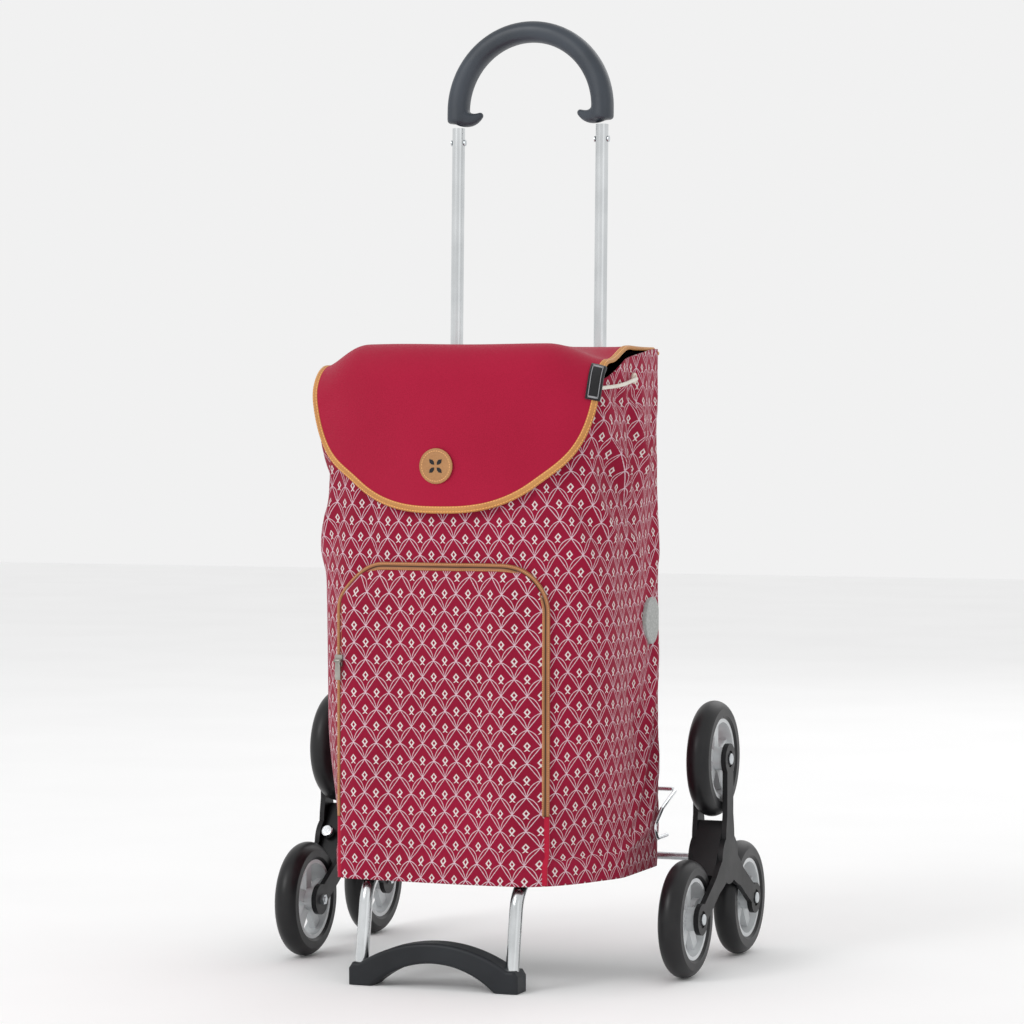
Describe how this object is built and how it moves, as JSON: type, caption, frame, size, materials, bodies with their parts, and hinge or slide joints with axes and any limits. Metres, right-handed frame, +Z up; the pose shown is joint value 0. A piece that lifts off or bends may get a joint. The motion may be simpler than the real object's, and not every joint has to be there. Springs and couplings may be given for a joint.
{
  "type": "shopping trolley on wheels",
  "caption": "Folding shopping trolley: soft bag with a drawstring mouth and a bound lid flap, arch grip on leaning tubes, stair-climbing wheel clusters and a folding foot.",
  "frame": {"origin": "on the ground at the middle of the footprint, between the foot's front face and the rear tyres", "axes": "+Z up, -Y towards the front of the bag, +X across the trolley along the axle"},
  "size_m": [0.48, 0.4156, 1.0212],
  "materials": {
    "zinc_tube": "satin, bright zinc-coated tube",
    "black_moulding": "matt moulded",
    "black_casting": "fine-grained moulded",
    "chrome_button": "polished",
    "spring_steel": "drawn wire",
    "bush_nylon": "smooth",
    "zinc_fastener": "zinc plated",
    "printed_fabric": "printed woven polyester",
    "tyre_rubber": "matt rubber",
    "rim_plastic": "silver-grey moulded",
    "grip_plastic": "fine-grained slate grey",
    "bright_wire": "bright drawn wire",
    "axle_steel": "ground bar",
    "base_board": "stiff board",
    "tan_binding": "grained binding",
    "zip_metal": "aged metal",
    "cream_eyelet": "smooth",
    "reflector_grey": "retroreflective sheet",
    "white_cord": "braided cord",
    "black_webbing": "woven webbing",
    "plain_fabric": "plain woven polyester",
    "tan_leather": "debossed leather patch",
    "black_label": "woven tab"
  },
  "bodies": {
    "root": {"upright_right": "zinc_tube", "knuckle_right": "black_moulding", "hook_clip_right": "black_moulding", "bag_side_right": "printed_fabric", "upright_left": "zinc_tube", "knuckle_left": "black_moulding", "hook_clip_left": "black_moulding", "bag_side_left": "printed_fabric", "fold_pins": "zinc_fastener", "grip_rivets": "zinc_fastener", "grip": "grip_plastic", "cart_hook": "bright_wire", "axle": "axle_steel", "bag_front_panel": "printed_fabric", "bag_back_panel": "printed_fabric", "front_pocket": "printed_fabric", "bag_base_board": "base_board", "pocket_zip": "tan_binding", "eyelets": "cream_eyelet", "reflectors": "reflector_grey", "drawstring": "white_cord", "bag_straps": "black_webbing"},
    "platform": {"platform_leg_right": "zinc_tube", "platform_leg_left": "zinc_tube", "platform_braces": "zinc_tube", "foot": "black_moulding"},
    "lid": {"lid_flap": "plain_fabric", "lid_binding": "tan_binding", "lid_badge": "tan_leather", "label_tab": "black_label"},
    "slider": {"zip_slider": "zip_metal"},
    "pull": {"zip_pull": "zip_metal"},
    "cluster_right": {"spider_right": "black_casting", "hub_bush_right": "bush_nylon", "wheel_bolts_right": "zinc_fastener", "wheel_nuts_right": "zinc_fastener", "release_spring_right": "spring_steel"},
    "button_right": {"release_button_right": "chrome_button"},
    "wheel_right_top": {"tyre_right_top": "tyre_rubber", "rim_right_top": "rim_plastic"},
    "wheel_right_front": {"tyre_right_front": "tyre_rubber", "rim_right_front": "rim_plastic"},
    "wheel_right_rear": {"tyre_right_rear": "tyre_rubber", "rim_right_rear": "rim_plastic"},
    "cluster_left": {"spider_left": "black_casting", "hub_bush_left": "bush_nylon", "wheel_bolts_left": "zinc_fastener", "wheel_nuts_left": "zinc_fastener", "release_spring_left": "spring_steel"},
    "button_left": {"release_button_left": "chrome_button"},
    "wheel_left_top": {"tyre_left_top": "tyre_rubber", "rim_left_top": "rim_plastic"},
    "wheel_left_front": {"tyre_left_front": "tyre_rubber", "rim_left_front": "rim_plastic"},
    "wheel_left_rear": {"tyre_left_rear": "tyre_rubber", "rim_left_rear": "rim_plastic"}
  },
  "joints": [
    {"name": "platform_fold", "type": "hinge", "parent": "root", "child": "platform", "pos_m": [0, 0.02905, 0.11113], "axis": [-1, 0, 0], "range_deg": [0, 82], "deforming": ["bag_front_panel", "bag_side_right", "bag_side_left", "bag_back_panel", "bag_base_board", "front_pocket", "pocket_zip", "eyelets", "reflectors", "drawstring", "bag_straps"]},
    {"name": "lid_hinge", "type": "hinge", "parent": "root", "child": "lid", "pos_m": [0, 0.03117, 0.663], "axis": [-1, 0, 0], "range_deg": [0, 96]},
    {"name": "zip_slide", "type": "slide", "parent": "root", "child": "slider", "axis": [0, 0, 1], "range_m": [-0.15, 0.045]},
    {"name": "pull_swing", "type": "hinge", "parent": "slider", "child": "pull", "pos_m": [-0.1115, -0.19383, 0.335], "axis": [-1, 0, 0], "range_deg": [0, 150]},
    {"name": "cluster_right_spin", "type": "hinge", "parent": "root", "child": "cluster_right", "pos_m": [0.2187, 0.05317, 0.1155], "axis": [1, 0, 0], "continuous": true},
    {"name": "release_right", "type": "slide", "parent": "cluster_right", "child": "button_right", "axis": [0, -0.866, -0.5], "range_m": [0, 0.004], "stiffness_N_per_m": 600, "springref_m": -0.002, "deforming": ["release_spring_right"]},
    {"name": "wheel_right_top_spin", "type": "hinge", "parent": "cluster_right", "child": "wheel_right_top", "pos_m": [0.2187, 0.05317, 0.2225], "axis": [1, 0, 0], "continuous": true},
    {"name": "wheel_right_front_spin", "type": "hinge", "parent": "cluster_right", "child": "wheel_right_front", "pos_m": [0.2187, -0.0395, 0.062], "axis": [1, 0, 0], "continuous": true},
    {"name": "wheel_right_rear_spin", "type": "hinge", "parent": "cluster_right", "child": "wheel_right_rear", "pos_m": [0.2187, 0.14583, 0.062], "axis": [1, 0, 0], "continuous": true},
    {"name": "cluster_left_spin", "type": "hinge", "parent": "root", "child": "cluster_left", "pos_m": [-0.2187, 0.05317, 0.1155], "axis": [1, 0, 0], "continuous": true},
    {"name": "release_left", "type": "slide", "parent": "cluster_left", "child": "button_left", "axis": [0, 0.866, -0.5], "range_m": [0, 0.004], "stiffness_N_per_m": 600, "springref_m": -0.002, "deforming": ["release_spring_left"]},
    {"name": "wheel_left_top_spin", "type": "hinge", "parent": "cluster_left", "child": "wheel_left_top", "pos_m": [-0.2187, 0.05317, 0.2225], "axis": [1, 0, 0], "continuous": true},
    {"name": "wheel_left_front_spin", "type": "hinge", "parent": "cluster_left", "child": "wheel_left_front", "pos_m": [-0.2187, -0.0395, 0.062], "axis": [1, 0, 0], "continuous": true},
    {"name": "wheel_left_rear_spin", "type": "hinge", "parent": "cluster_left", "child": "wheel_left_rear", "pos_m": [-0.2187, 0.14583, 0.062], "axis": [1, 0, 0], "continuous": true}
  ]
}
